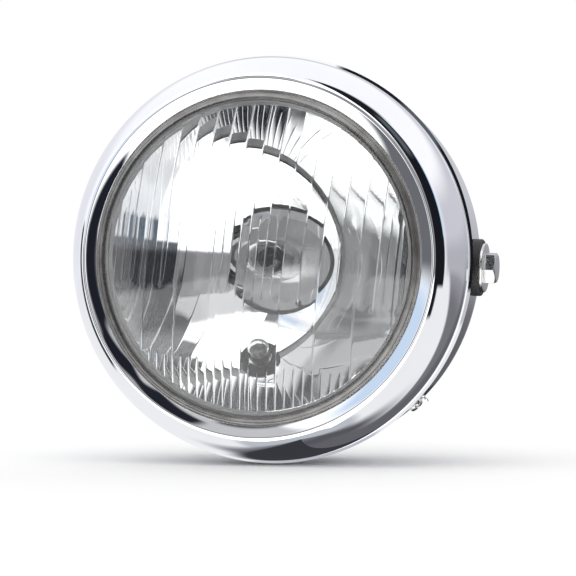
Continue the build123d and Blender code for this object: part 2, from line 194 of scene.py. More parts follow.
def tidyFaces(piece):
    takeUp(piece)
    bpy.ops.object.mode_set(mode="EDIT")
    bpy.ops.mesh.select_all(action="SELECT")
    bpy.ops.mesh.normals_make_consistent(inside=False)
    bpy.ops.object.mode_set(mode="OBJECT")
    return piece


def cutBy(piece, tool, keep=False):
    takeUp(piece)
    cut = piece.modifiers.new("cut", "BOOLEAN")
    cut.operation = "INTERSECT" if keep else "DIFFERENCE"
    cut.solver = "EXACT"
    cut.object = tool
    bpy.ops.object.modifier_apply(modifier=cut.name)
    bpy.data.objects.remove(tool)
    return piece


def easeEdges(piece, width, segments=2, angle=30):
    takeUp(piece)
    ease = piece.modifiers.new("ease", "BEVEL")
    ease.width = width * mm
    ease.segments = segments
    ease.limit_method = "ANGLE"
    ease.angle_limit = radians(angle)
    bpy.ops.object.modifier_apply(modifier=ease.name)
    return piece


def joinUp(main, others):
    takeUp(main)
    for other in others:
        other.select_set(True)
    bpy.ops.object.join()
    return main


def punchOnX(radius, middle, depth, vertices=32):
    # a round cutter across the lamp
    letGo()
    bpy.ops.mesh.primitive_cylinder_add(
        vertices=vertices,
        radius=radius * mm,
        depth=depth * mm,
        location=Vector(middle) * mm,
        rotation=(0, pi / 2, 0),
    )
    return settle(nameNew("hole"))


def swung(piece, angle):
    # turned about the lamp axis, angle from +X towards +Z
    piece.rotation_euler = (0, -radians(angle), 0)
    return settle(piece)


def leftCopy(piece, name):
    takeUp(piece)
    bpy.ops.object.duplicate()
    copy = nameNew(name)
    copy.scale = (-1, 1, 1)
    settle(copy)
    return tidyFaces(copy)


def dress(piece, node, finish, angle=30):
    takeUp(piece)
    bpy.ops.object.shade_smooth_by_angle(angle=radians(angle))
    if not piece.data.materials:
        piece.data.materials.append(finish)
    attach(piece, "root")
    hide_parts(node)
    return piece


# finishes, all procedural
def newFinish(name):
    finish = bpy.data.materials.new(name)
    finish.use_nodes = True
    nodes = finish.node_tree.nodes
    shader = nodes["Principled BSDF"]
    place = nodes.new("ShaderNodeTexCoord")
    return finish, nodes, finish.node_tree.links, shader, place.outputs["Object"]


def speckle(nodes, links, place, scale, detail=3.0, stretch=(1, 1, 1)):
    turn = nodes.new("ShaderNodeMapping")
    turn.inputs["Scale"].default_value = stretch
    grain = nodes.new("ShaderNodeTexNoise")
    grain.inputs["Scale"].default_value = scale
    grain.inputs["Detail"].default_value = detail
    links.new(place, turn.inputs["Vector"])
    links.new(turn.outputs["Vector"], grain.inputs["Vector"])
    return grain.outputs["Fac"]


def spread(nodes, links, source, low, high, start=0.3, end=0.7):
    fit = nodes.new("ShaderNodeMapRange")
    fit.inputs["From Min"].default_value = start
    fit.inputs["From Max"].default_value = end
    fit.inputs["To Min"].default_value = low
    fit.inputs["To Max"].default_value = high
    links.new(source, fit.inputs["Value"])
    return fit.outputs["Result"]


def twoTone(nodes, links, source, first, second, start=0.35, end=0.65):
    tone = nodes.new("ShaderNodeValToRGB")
    tone.color_ramp.elements[0].position = start
    tone.color_ramp.elements[1].position = end
    tone.color_ramp.elements[0].color = (*first, 1)
    tone.color_ramp.elements[1].color = (*second, 1)
    links.new(source, tone.inputs["Fac"])
    return tone.outputs["Color"]


def roughen(nodes, links, shader, source, strength, depth):
    bump = nodes.new("ShaderNodeBump")
    bump.inputs["Strength"].default_value = strength
    bump.inputs["Distance"].default_value = depth * mm
    links.new(source, bump.inputs["Height"])
    links.new(bump.outputs["Normal"], shader.inputs["Normal"])


def plating(name, first, second, smooth, dull, bumpDepth):
    # bright plated sheet: faint polishing haze and a trace of orange peel
    finish, nodes, links, shader, place = newFinish(name)
    haze = speckle(nodes, links, place, 22)
    peel = speckle(nodes, links, place, 320, 2)
    shader.inputs["Metallic"].default_value = 1
    links.new(twoTone(nodes, links, haze, first, second), shader.inputs["Base Color"])
    links.new(spread(nodes, links, haze, smooth, dull), shader.inputs["Roughness"])
    roughen(nodes, links, shader, peel, 0.25, bumpDepth)
    return finish


def steel(name, first, second, smooth, dull, stretch):
    # drawn or turned steel: fine streaks over a patchy zinc tone
    finish, nodes, links, shader, place = newFinish(name)
    patch = speckle(nodes, links, place, 180)
    streak = speckle(nodes, links, place, 1400, 4, stretch)
    shader.inputs["Metallic"].default_value = 1
    links.new(twoTone(nodes, links, patch, first, second), shader.inputs["Base Color"])
    links.new(spread(nodes, links, streak, smooth, dull), shader.inputs["Roughness"])
    roughen(nodes, links, shader, streak, 0.3, 0.02)
    return finish


def moulded(name, first, second, smooth, dull):
    # moulded rubber or unpolished glass: fine grain with a dusty bloom
    finish, nodes, links, shader, place = newFinish(name)
    bloom = speckle(nodes, links, place, 120)
    grain = speckle(nodes, links, place, 2600, 4)
    links.new(twoTone(nodes, links, bloom, first, second), shader.inputs["Base Color"])
    links.new(spread(nodes, links, bloom, smooth, dull), shader.inputs["Roughness"])
    roughen(nodes, links, shader, grain, 0.5, 0.06)
    return finish


def clearGlass(name, first, second, wave, bumpDepth):
    finish, nodes, links, shader, place = newFinish(name)
    ripple = speckle(nodes, links, place, wave, 2)
    shader.inputs["Transmission Weight"].default_value = 1
    shader.inputs["IOR"].default_value = 1.5
    shader.inputs["Roughness"].default_value = 0
    links.new(twoTone(nodes, links, ripple, first, second), shader.inputs["Base Color"])
    roughen(nodes, links, shader, ripple, 0.3, bumpDepth)
    return finish


rimChrome = plating("rimChrome", (0.88, 0.89, 0.92), (0.92, 0.93, 0.95), 0.015, 0.04, 0.004)
housingChrome = plating("housingChrome", (0.80, 0.81, 0.85), (0.86, 0.87, 0.90), 0.03, 0.07, 0.006)
mirrorCoat = plating("mirrorCoat", (0.93, 0.935, 0.94), (0.95, 0.955, 0.96), 0.008, 0.02, 0.003)
lensGlass = clearGlass("lensGlass", (0.985, 0.988, 0.985), (0.995, 0.997, 0.995), 60, 0.01)
frostedEdge = moulded("frostedEdge", (0.92, 0.92, 0.91), (0.97, 0.97, 0.96), 0.3, 0.45)
# painted shade: the ground lens shoulder is toned dark grey to stand in for the shaded seal seen through the
# glass
shoulderPaintedShade = moulded("shoulderPaintedShade", (0.22, 0.212, 0.205), (0.32, 0.31, 0.30), 0.10, 0.20)
shoulderPaintedShade.node_tree.nodes["Principled BSDF"].inputs["Metallic"].default_value = 0.6
bulbGlass = clearGlass("bulbGlass", (0.94, 0.95, 0.95), (0.98, 0.98, 0.98), 200, 0.006)
# painted shade: near-black tone for the shaded gap at the reflector's neck
neckPaintedShade = moulded("neckPaintedShade", (0.014, 0.014, 0.015), (0.030, 0.029, 0.028), 0.3, 0.5)
# painted shade: near-black foot standing in for the dark hollow inside the bulbs
bulbFootPaintedShade = moulded("bulbFootPaintedShade", (0.016, 0.016, 0.018), (0.040, 0.040, 0.042), 0.22, 0.36)
blackRubber = moulded("blackRubber", (0.012, 0.012, 0.013), (0.028, 0.028, 0.030), 0.42, 0.62)
# painted light: the rubber seal is toned light grey to make up for the shade it sits in inside the lamp
sealRubberPaintedLight = moulded("sealRubberPaintedLight", (0.38, 0.365, 0.35), (0.50, 0.48, 0.46), 0.35, 0.55)
platedSteel = steel("platedSteel", (0.56, 0.56, 0.57), (0.68, 0.67, 0.66), 0.07, 0.15, (1, 1, 1))
springSteel = steel("springSteel", (0.42, 0.43, 0.45), (0.55, 0.56, 0.58), 0.25, 0.42, (1, 4, 1))
bulbMetal = plating("bulbMetal", (0.62, 0.62, 0.63), (0.78, 0.78, 0.78), 0.10, 0.22, 0.004)
terminalBrass = steel("terminalBrass", (0.62, 0.47, 0.21), (0.76, 0.60, 0.30), 0.2, 0.36, (1, 5, 1))
print("finishes mixed")


# floor and light
floorLook = {
    "size": 60,
    "drop": 0.05,
    "tone": (0.985, 0.985, 0.987),
}
studio = {
    "plain": 0.78,  # what matt surfaces get from all round
    "sun": {"from": (-0.10, -0.22, 0.97), "angle": 60, "strength": 0.85},
    "base": (1.06, 1.06, 1.09),
    # places seen in the chrome and the mirror: azimuth from the front towards the right, elevation,
    # softness, colour and, for some, how far the sides lean
    "patches": [
        ("floorAhead", (-178, 178), (-95, -3), 2, (0.92, 0.92, 0.93)),
        ("underFloor", (-178, 178), (-95, -69), 3, (0.53, 0.55, 0.59)),
        ("leftWall", (-160, -108), (-4, 27), 8, (0.84, 0.84, 0.89)),
        ("rightWall", (92, 195), (-2, 26), 8, (0.62, 0.62, 0.67)),
        ("backWall", (-195, -158), (-2, 26), 6, (0.62, 0.62, 0.67)),
        ("wallLow", (95, 195), (-4, 6), 4, (0.47, 0.47, 0.51)),
        ("greyCard", (97, 300), (-70, -3), 3, (0.34, 0.33, 0.365), 1.2),
        ("cardLow", (96, 300), (-70, -9), 5, (0.19, 0.185, 0.205), 1.2),
        ("underRight", (155, 300), (-95, -47), 17, (0.10, 0.102, 0.115), -0.5),
        ("underLeft", (-400, -160), (-95, -45), 10, (0.20, 0.21, 0.23), 0.5),
        ("backCard", (-400, -173), (-95, -6), 4, (0.042, 0.044, 0.052), 0.5),
        ("cardShade", (152, 195), (-70, -3), 7, (0.13, 0.127, 0.143)),
        ("softbox", (-100, 72), (44, 82), 2.5, (1.55, 1.56, 1.58)),
        ("softLeft", (-100, -24), (26, 60), 3, (1.20, 1.22, 1.26)),
        ("whiteFloor", (-66, 66), (-78, -5), 1, (1.70, 1.70, 1.70)),
        ("greyHigh", (-26, 72), (27, 44), 2, (0.58, 0.58, 0.59)),
        ("darkRight", (23, 66), (-5, 27), 1.6, (0.24, 0.24, 0.25)),
        ("midHigh", (-24, 24), (10, 27), 2, (0.48, 0.48, 0.49)),
        ("midGrey", (-22, 2), (-7, 14), 2, (0.28, 0.28, 0.29)),
        ("midPale", (1, 13), (-12, 5), 2, (1.40, 1.40, 1.41)),
        ("midSoft", (1, 12), (5, 11), 1.5, (0.75, 0.75, 0.76)),
        ("blueLeft", (-60, -33), (6, 29), 4, (0.62, 0.76, 0.94)),
        ("lowLeft", (-57, -32), (-20, 4), 2.5, (0.15, 0.155, 0.17)),
        ("cameraSide", (13, 25), (-22, 16), 2.2, (0.014, 0.016, 0.024)),
        ("cameraTop", (7.5, 18), (13, 27), 1.6, (0.014, 0.016, 0.024)),
        ("cameraEdge", (-6, 10), (22, 34), 1.6, (0.016, 0.018, 0.026)),
        ("boltCard", (-34, -8), (37.5, 52), 2, (0.04, 0.045, 0.06)),
        ("rightFlag", (60, 90.5), (-10, 82), 1.2, (0.010, 0.011, 0.015)),
        ("highFlag", (63, 95), (58, 88), 6, (0.012, 0.013, 0.017)),
        ("lowFlag", (69, 79), (-22, -8), 1.5, (0.012, 0.013, 0.017)),
        ("flagSheen", (76, 86), (42, 60), 3, (0.10, 0.12, 0.14)),
        ("blueEdge", (89.5, 91.5), (9, 42), 0.7, (0.50, 0.70, 0.90)),
        ("farLeft", (-107, -94), (-26, 9), 1.6, (0.03, 0.032, 0.04)),
    ],
}


def setFloor():
    solids = [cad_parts[node] for node in ("rim", "lens", "housing_shell")]
    low = min(vertex.co.dot(floorUp) for solid in solids for vertex in solid.data.vertices)
    letGo()
    bpy.ops.mesh.primitive_grid_add(x_subdivisions=8, y_subdivisions=8, size=floorLook["size"])
    floor = nameNew("paleFloor")
    floor.matrix_world = floorUp.to_track_quat("Z", "Y").to_matrix().to_4x4()
    floor.location = floorUp * (low - floorLook["drop"] * mm)
    settle(floor)
    finish, nodes, links, shader, place = newFinish("paleFloor")
    cloud = speckle(nodes, links, place, 3)
    tone = floorLook["tone"]
    paler = tuple(value + 0.005 for value in tone)
    links.new(twoTone(nodes, links, cloud, tone, paler), shader.inputs["Base Color"])
    shader.inputs["Roughness"].default_value = 0.9
    shader.inputs["Specular IOR Level"].default_value = 0
    steps = nodeSteps(nodes, links)
    path = nodes.new("ShaderNodeLightPath")  # metal and glass look past the floor into the room
    mirrored = steps("MAXIMUM", path.outputs["Is Glossy Ray"], path.outputs["Is Transmission Ray"])
    clear, pick = nodes.new("ShaderNodeBsdfTransparent"), nodes.new("ShaderNodeMixShader")
    # light that the lamp throws back on the floor still meets it
    direct = steps("LESS_THAN", path.outputs["Diffuse Depth"], 0.5)
    links.new(steps("MULTIPLY", mirrored, direct), pick.inputs["Fac"])
    links.new(shader.outputs["BSDF"], pick.inputs[1])
    links.new(clear.outputs["BSDF"], pick.inputs[2])
    links.new(pick.outputs["Shader"], nodes["Material Output"].inputs["Surface"])
    floor.data.materials.append(finish)


def nodeSteps(nodes, links):
    def step(kind, first, second=None):
        made = nodes.new("ShaderNodeMath")
        made.operation = kind
        for socket, value in zip(made.inputs, (first, second)):
            if isinstance(value, (int, float)):
                socket.default_value = value
            elif value is not None:
                links.new(value, socket)
        return made.outputs["Value"]

    return step


def between(nodes, links, source, low, high, soft):
    rise, fall = nodes.new("ShaderNodeMapRange"), nodes.new("ShaderNodeMapRange")
    for edge, middle, ends in ((rise, low, (0, 1)), (fall, high, (1, 0))):
        edge.interpolation_type = "SMOOTHSTEP"
        edge.inputs["From Min"].default_value = middle - soft
        edge.inputs["From Max"].default_value = middle + soft
        edge.inputs["To Min"].default_value, edge.inputs["To Max"].default_value = ends
        links.new(source, edge.inputs["Value"])
    return nodeSteps(nodes, links)("MULTIPLY", rise.outputs["Result"], fall.outputs["Result"])


def setStudio():
    world = bpy.data.worlds.new("studio")
    scene.world = world
    world.use_nodes = True
    nodes, links = world.node_tree.nodes, world.node_tree.links
    nodes.clear()
    steps = nodeSteps(nodes, links)
    place = nodes.new("ShaderNodeTexCoord")
    level = nodes.new("ShaderNodeMapping")
    level.inputs["Rotation"].default_value = (0, radians(shot["roll"]), 0)
    split = nodes.new("ShaderNodeSeparateXYZ")
    links.new(place.outputs["Generated"], level.inputs["Vector"])
    links.new(level.outputs["Vector"], split.inputs["Vector"])
    ahead = steps("MULTIPLY", split.outputs["Y"], -1)
    azimuth = steps("DEGREES", steps("ARCTAN2", split.outputs["X"], ahead))
    elevation = steps("DEGREES", steps("ARCSINE", split.outputs["Z"]))
    colour = None
    for name, az, el, soft, tone, *lean in studio["patches"]:
        along = steps("ADD", azimuth, steps("MULTIPLY", elevation, lean[0])) if lean else azimuth
        inAz = between(nodes, links, along, *az, soft)
        inEl = between(nodes, links, elevation, *el, soft)
        layer = nodes.new("ShaderNodeMix")
        layer.data_type = "RGBA"
        layer.label = name
        links.new(steps("MULTIPLY", inAz, inEl), layer.inputs[0])
        if colour is None:
            layer.inputs[6].default_value = (*studio["base"], 1)
        else:
            links.new(colour, layer.inputs[6])
        layer.inputs[7].default_value = (*tone, 1)
        colour = layer.outputs[2]
    room, plain, white = (nodes.new("ShaderNodeBackground") for _ in range(3))
    links.new(colour, room.inputs["Color"])
    plain.inputs["Color"].default_value = (1, 1, 1, 1)
    plain.inputs["Strength"].default_value = studio["plain"]
    white.inputs["Color"].default_value = (1, 1, 1, 1)
    path = nodes.new("ShaderNodeLightPath")
    bright = steps("MAXIMUM", path.outputs["Is Glossy Ray"], path.outputs["Is Transmission Ray"])
    first, last = nodes.new("ShaderNodeMixShader"), nodes.new("ShaderNodeMixShader")
    out = nodes.new("ShaderNodeOutputWorld")
    links.new(bright, first.inputs["Fac"])
    links.new(plain.outputs["Background"], first.inputs[1])
    links.new(room.outputs["Background"], first.inputs[2])
    links.new(path.outputs["Is Camera Ray"], last.inputs["Fac"])
    links.new(first.outputs["Shader"], last.inputs[1])
    links.new(white.outputs["Background"], last.inputs[2])
    links.new(last.outputs["Shader"], out.inputs["Surface"])


def setSun():
    sizes = studio["sun"]
    letGo()
    bpy.ops.object.light_add(type="SUN", location=Vector(sizes["from"]) * 2)
    lamp = bpy.context.object
    lamp.name = "softSun"
    lamp.data.angle = radians(sizes["angle"])
    lamp.data.energy = sizes["strength"]
    lamp.rotation_euler = (-Vector(sizes["from"])).to_track_quat("-Z", "Y").to_euler()
    lamp.visible_glossy = False
    lamp.visible_transmission = False


setFloor()
setStudio()
setSun()
print("floor and light set")


# rim with its lugs and hook; sizes here and below in millimetres and degrees
rimSizes = {
    "lip": (75.1, -49.4),
    "crest": (80.9, -51.2),
    "crestRound": 2.2,
    "sideMiddle": (61.70, -27.87),
    "sideRadius": 30.2,
    "sheet": 1.0,
    "lipRound": 0.35,
    "seam": (0.3, 0.25),  # width and depth of the line in front of the bead
    "bead": (91.9, -22.3, 1.2),
    "lug": {"inner": 90.6, "sheet": 1.0, "width": 10.0, "from": -23.5, "to": -3.0, "angle": -43.5},
    "ear": {"height": 2.8, "from": -5.4},
    "screwHole": (2.2, -9.0),
    "hook": {"inner": 87.6, "sheet": 0.8, "width": 12.0, "from": -31.5, "reach": 14.0, "root": 91.18},
}


def crestArc(inset):
    # the round between the dished front and the side, at a depth below the face
    lip, crest = Vector(rimSizes["lip"]), Vector(rimSizes["crest"])
    side, sideRadius = Vector(rimSizes["sideMiddle"]), rimSizes["sideRadius"]
    size = rimSizes["crestRound"]
    along = (crest - lip).normalized()
    inwards = Vector((-along.y, along.x))
    start = lip + inwards * size - side
    half = start.dot(along)
    run = -half + sqrt(half * half - start.dot(start) + (sideRadius - size) ** 2)
    middle = start + side + along * run
    outwards = (middle - side).normalized()
    first = atan2(-inwards.y, -inwards.x)
    last = atan2(outwards.y, outwards.x)
    arc = bow(middle, size - inset, first * 180 / pi, last * 180 / pi, 14)
    return arc, last * 180 / pi


def band(name, inner, outer, start, end, width, steps=6):
    # a strap lying round the lamp axis at +X
    piece = drawSection(name, [(inner, start), (outer, start), (outer, end), (inner, end)])
    bpy.ops.mesh.select_all(action="SELECT")
    bpy.ops.mesh.edge_face_add()
    half = width / (inner + outer)
    bpy.ops.transform.rotate(value=half, orient_axis="Y", center_override=(0, 0, 0))
    bpy.ops.object.mode_set(mode="OBJECT")
    middleZ = sum(vertex.co.z for vertex in piece.data.vertices)
    spinRound(piece, steps, angle=2 * half)
    centreZ = sum(vertex.co.z for vertex in piece.data.vertices)
    if abs(centreZ) > abs(middleZ):  # went the other way round
        piece.rotation_euler = (0, 2 * half if centreZ > 0 else -2 * half, 0)
        settle(piece)
    return tidyFaces(piece)


def makeRim():
    outerArc, sideStart = crestArc(0)
    innerArc, _ = crestArc(rimSizes["sheet"])
    side, radius, sheet = rimSizes["sideMiddle"], rimSizes["sideRadius"], rimSizes["sheet"]
    beadR, beadY, beadSize = rimSizes["bead"]
    seamWidth, seamDepth = rimSizes["seam"]
    rear = beadY - beadSize
    outerRise, innerRise = rear - seamWidth - side[1], rear - side[1]
    outerEnd = atan2(outerRise, sqrt(radius**2 - outerRise**2)) * 180 / pi
    innerEnd = atan2(innerRise, sqrt((radius - sheet) ** 2 - innerRise**2)) * 180 / pi
    outerSide = bow(side, radius, sideStart, outerEnd, 44)
    innerSide = bow(side, radius - sheet, innerEnd, sideStart, 30)
    edgeR, edgeY = outerSide[-1]
    seamR = edgeR - seamDepth
    roll = bow((beadR, beadY), beadSize, -90, 0, 1) + bow((beadR, beadY), beadSize, 14, 170, 13)
    lipR, lipY = rimSizes["lip"]
    slope = (rimSizes["crest"][1] - lipY) / (rimSizes["crest"][0] - lipR)
    inLip = (lipR, innerArc[0][1] + slope * (lipR - innerArc[0][0]))
    small = rimSizes["lipRound"]
    lipBend = soften([inLip, (lipR, lipY), outerArc[0]], [small, small, 0], 4)[:-1]
    points = lipBend + outerArc + outerSide[1:]
    points += [(edgeR - 0.05, edgeY + 0.08), (seamR, edgeY + 0.12), (seamR, rear - 0.04)]
    points += roll + innerSide + innerArc[::-1][1:]
    rim = turned("rimRing", points, 288)
    lugSizes, ear = rimSizes["lug"], rimSizes["ear"]
    outer = lugSizes["inner"] + lugSizes["sheet"]
    lug = band("lug", lugSizes["inner"], outer, lugSizes["from"], lugSizes["to"], lugSizes["width"])
    hole, holeY = rimSizes["screwHole"]
    cutBy(lug, punchOnX(hole, (outer, holeY, 0), 8))
    earDepth = lugSizes["to"] - ear["from"]
    letGo()
    bpy.ops.mesh.primitive_cube_add(size=1)
    tab = nameNew("ear")
    tab.scale = Vector((ear["height"] + lugSizes["sheet"] * 0.6, earDepth, lugSizes["sheet"])) * mm
    tabX = outer + ear["height"] / 2 - 0.3
    tabZ = (lugSizes["width"] - lugSizes["sheet"]) / 2
    tab.location = Vector((tabX, ear["from"] + earDepth / 2, tabZ)) * mm
    easeEdges(settle(tab), 0.3)
    joinUp(easeEdges(lug, 0.25), [tab])
    swung(lug, lugSizes["angle"])
    other = leftCopy(lug, "lugLeft")
    hook = rimSizes["hook"]
    inner, start, hookSheet, width = (hook[key] for key in ("inner", "from", "sheet", "width"))
    foot = band("hookFoot", inner, hook["root"], start, start + hookSheet, width)
    tongue = band("hookTongue", inner, inner + hookSheet, start, start + hook["reach"], width)
    joinUp(foot, [tongue])
    swung(foot, 90)
    joinUp(rim, [lug, other, foot])
    rim.name = "rimRing"
    return dress(rim, "rim", rimChrome, 35)


makeRim()
print("rim made")


# housing bowl with a pad for each side bolt
bowlSizes = {
    "radius": 90.0,
    "front": -28.5,
    "straightEnd": 9.5,
    "shoulder": 39.3,
    "turn": 75.0,
    "sheet": 1.0,
    "cableHole": 10.0,
    "boltHole": 4.3,
    "screwHole": (2.2, -9.0, -43.5),
    "pad": {"radius": 9.0, "face": 90.5, "sheet": 1.2, "round": 0.4},
}


def bowlSide(inset):
    radius, bend = bowlSizes["radius"] - inset, bowlSizes["shoulder"] - inset
    middle = (radius - bend, bowlSizes["straightEnd"])
    points = [(radius, bowlSizes["front"])]
    run = bowlSizes["straightEnd"] - bowlSizes["front"]
    points += [(radius, bowlSizes["front"] + run * part / 6) for part in range(1, 6)]
    points += bow(middle, bend, 0, bowlSizes["turn"], 40)
    endR, endY = points[-1]
    back = endR / cos(radians(bowlSizes["turn"]))
    centreY = endY - back * sin(radians(bowlSizes["turn"]))
    holeAngle = acos(bowlSizes["cableHole"] / back) * 180 / pi
    points += bow((0, centreY), back, bowlSizes["turn"], holeAngle, 20)[1:]
    return points


def makeBowl():
    outside, inside = bowlSide(0), bowlSide(bowlSizes["sheet"])
    bowl = turned("housingBowl", outside + inside[::-1], 288)
    hole, holeY, angle = bowlSizes["screwHole"]
    for side in (angle, 180 - angle):
        cutBy(bowl, swung(punchOnX(hole, (bowlSizes["radius"], holeY, 0), 10), side))
    pad = bowlSizes["pad"]
    for side in (1, -1):
        cutBy(bowl, punchOnX(pad["radius"] - 0.5, (88 * side, 0, 0), 20, 64))
    face, depth, sheet = pad["face"], pad["face"] - 3.5, pad["sheet"]
    reach, hole = pad["radius"], bowlSizes["boltHole"]
    section = [(depth, reach), (face, reach), (face, hole)]
    section += [(face - sheet, hole), (face - sheet, reach - 1), (depth, reach - 1)]
    boss = turnedOnX("boltPad", soften(section, [0, pad["round"], 0.2, 0.2, 0, 0]))
    joinUp(bowl, [boss, leftCopy(boss, "boltPadLeft")])
    bowl.name = "housingBowl"
    return dress(bowl, "housing_shell", housingChrome, 30)


makeBowl()
print("housing made")


# lens with flutes on its inner face
lensSizes = {
    "edge": 71.6,
    "edgeDepth": -51.9,
    "domeRadius": 168.215,
    "gridHalf": 72,  # the grid of the inner face starts this wide and is trimmed to the field
    "thickness": 4.5,
    "field": 68.6,
    "hollow": 69.6,
    "borderThickness": 5.1,
    "wall": 74.6,
    "shoulder": 2.4,
    "groundTo": -49.3,
    "edgeSteps": [(0.32, 0.1), (0.36, -0.12), (0.56, -0.12), (0.6, 0.1), (0.8, 0.1), (0.84, -0.1)],
    "flange": 78.5,
    "flangeFront": -47.4,
    "flangeBack": -43.9,
    "turn": 4.0,
    "flute": (8.0, 0.12),
    "fine": (4.0, 0.05),
    "panel": (16.0, 0.08),
    "fineMiddle": 16.0,
    "fineEdge": 56.0,
    "topEdge": 16.5,
    "topSlope": 0.122,
    "panelTop": -16.8,
    "panelBottom": -47.0,
    "ridge": (0.35, 0.06),  # half width and height of the line between two flutes
}


def fluteRise(x, pitch, depth):
    # 0 in the middle of a flute and depth at its edges, where a narrow line stands up
    offset = abs((x / pitch) % 1 - 0.5) * pitch
    half = pitch / 2
    width, height = lensSizes["ridge"]
    near = max(0, 1 - (half - offset) / width)
    return depth * (offset / half) ** 2 + height * near * near * (3 - 2 * near)


def lensRise(x, zone):
    flute, fine, panel = lensSizes["flute"], lensSizes["fine"], lensSizes["panel"]
    if zone == "top":
        return fluteRise(x, *flute)
    if zone == "panel":
        return fluteRise(x, *panel)
    if zone == "bottom":
        return fluteRise(x, *fine)
    if abs(x) < lensSizes["fineMiddle"] or abs(x) > lensSizes["fineEdge"]:
        return fluteRise(x, *fine)
    return fluteRise(x, *flute)


def lensRows():
    # heights of the grid's rows with the zone each belongs to; two close rows make each step
    half, gap = lensSizes["gridHalf"], 0.15
    marks = [-half, lensSizes["panelBottom"], lensSizes["panelTop"], lensSizes["topEdge"], half]
    rows = []
    for zone, low, high in zip(("bottom", "panel", "middle", "top"), marks, marks[1:]):
        count = max(4, round((high - low) / 2.4))
        for index in range(count + 1):
            rows.append((low + gap + (high - low - 2 * gap) * index / count, zone))
    return rows


def lensColumns():
    half = lensSizes["gridHalf"]
    places = []
    for step in range(-half // 4, half // 4):
        for part in (0, 0.09, 0.18, 0.27, 0.36, 0.7, 1.2, 2.0, 2.8, 3.3, 3.64, 3.73, 3.82, 3.91):
            places.append(step * 4 + part)
    return places + [half]


def makeLens():
    rows, columns = lensRows(), lensColumns()
    field = lensSizes["field"]
    centreY = lensSizes["edgeDepth"] + sqrt(lensSizes["domeRadius"] ** 2 - lensSizes["edge"] ** 2)
    inner = lensSizes["domeRadius"] - lensSizes["thickness"]
    letGo()
    bpy.ops.mesh.primitive_grid_add(x_subdivisions=len(columns) - 1, y_subdivisions=len(rows) - 1, size=2)
    lens = nameNew("lensGlass")
    low, top, half = lensSizes["panelTop"], lensSizes["topEdge"], lensSizes["gridHalf"]
    outside = set()
    for vertex in lens.data.vertices:
        column = round((vertex.co.x + 1) / 2 * (len(columns) - 1))
        row = round((vertex.co.y + 1) / 2 * (len(rows) - 1))
        x, (z, zone) = columns[column], rows[row]
        # rows lean with the top step
        follow = max(0, min((z - low) / (top - low), (half - z) / (half - top)))
        z += lensSizes["topSlope"] * abs(x) * follow
        reach = hypot(x, z)
        if reach > field:
            outside.add(vertex.index)
            x, z = x * field / reach, z * field / reach
        drum = sqrt(inner * inner - x * x) + lensRise(x, zone)
        vertex.co = Vector((x, centreY - sqrt(drum * drum - z * z), z)) * mm
    bpy.ops.object.mode_set(mode="EDIT")
    mesh = bmesh.from_edit_mesh(lens.data)
    bpy.ops.mesh.select_all(action="DESELECT")
    bpy.ops.mesh.select_mode(type="FACE")
    for face in mesh.faces:
        face.select_set(all(vertex.index in outside for vertex in face.verts))
    bmesh.update_edit_mesh(lens.data)
    bpy.ops.mesh.delete(type="FACE")
    bpy.ops.mesh.select_mode(type="VERT")
    bpy.ops.mesh.select_all(action="SELECT")
    bpy.ops.mesh.remove_doubles(threshold=0.002 * mm)
    bpy.ops.mesh.select_all(action="SELECT")
    bpy.ops.mesh.select_mode(type="EDGE")
    bpy.ops.mesh.region_to_loop()
    borderRadius = lensSizes["domeRadius"] - lensSizes["borderThickness"]
    edge, edgeY = lensSizes["edge"], lensSizes["edgeDepth"]
    wall, shoulder = lensSizes["wall"], lensSizes["shoulder"]
    hollow, flange, ease = lensSizes["hollow"], lensSizes["flange"], 0.4
    back, front = lensSizes["flangeBack"], lensSizes["flangeFront"]
    rings = [(r, centreY - sqrt(borderRadius**2 - r * r)) for r in (field, hollow)]
    rings += [(hollow, back), (flange - ease, back), (flange, back - ease), (flange, front + ease)]
    rings += [(flange - ease, front), (wall + ease, front), (wall, front - ease)]
    foot = (wall, edgeY + shoulder)
    rings += soften([(wall, foot[1] + 1.5), foot, (edge, edgeY)], [0, 0.6, 0], 3)[1:-1]
    for part, proud in lensSizes["edgeSteps"]:
        rings.append((wall + (edge - wall) * part + proud, edgeY + shoulder * (1 - part) - proud))
    dome, onDome = lensSizes["domeRadius"], edge - edge / 10
    nearEdge = (onDome, centreY - sqrt(dome**2 - onDome**2))
    rings += soften([rings[-1], (edge, edgeY), nearEdge], [0, 0.8, 0], 4)[1:-1]
    count = 22
    for index in range(1, count):
        r = edge * (1 - index / count)
        rings.append((r, centreY - sqrt(dome**2 - r * r)))
    before = field
    for r, y in rings:
        bpy.ops.mesh.extrude_edges_move()
        factor = r / before
        bpy.ops.transform.resize(value=(factor, 0, factor), center_override=(0, y * mm, 0))
        before = r
    apex = centreY - dome
    bpy.ops.mesh.extrude_edges_move()
    bpy.ops.transform.resize(value=(0, 0, 0), center_override=(0, apex * mm, 0))
    bpy.ops.mesh.select_mode(type="VERT")
    bpy.ops.mesh.select_all(action="SELECT")
    bpy.ops.mesh.remove_doubles(threshold=0.002 * mm)
    bpy.ops.mesh.normals_make_consistent(inside=False)
    bpy.ops.object.mode_set(mode="OBJECT")
    lens.data.materials.append(lensGlass)
    lens.data.materials.append(shoulderPaintedShade)
    lens.data.materials.append(frostedEdge)
    # the shoulder outside the dome is ground and toned dark grey as painted shade for the shaded seal seen
    # through it, the wall and flange behind it frosted
    for face in lens.data.polygons:
        reach = max(hypot(*lens.data.vertices[index].co.xz) for index in face.vertices)
        if face.center.y > lensSizes["groundTo"] * mm and reach > (hollow - 0.05) * mm:
            face.material_index = 0 if face.normal.y < -0.2 and reach < edge * mm else 2
        elif reach > (edge + 0.2) * mm:
            face.material_index = 1
    swung(lens, -lensSizes["turn"])
    return dress(lens, "lens", lensGlass, 24)


makeLens()
print("lens made")


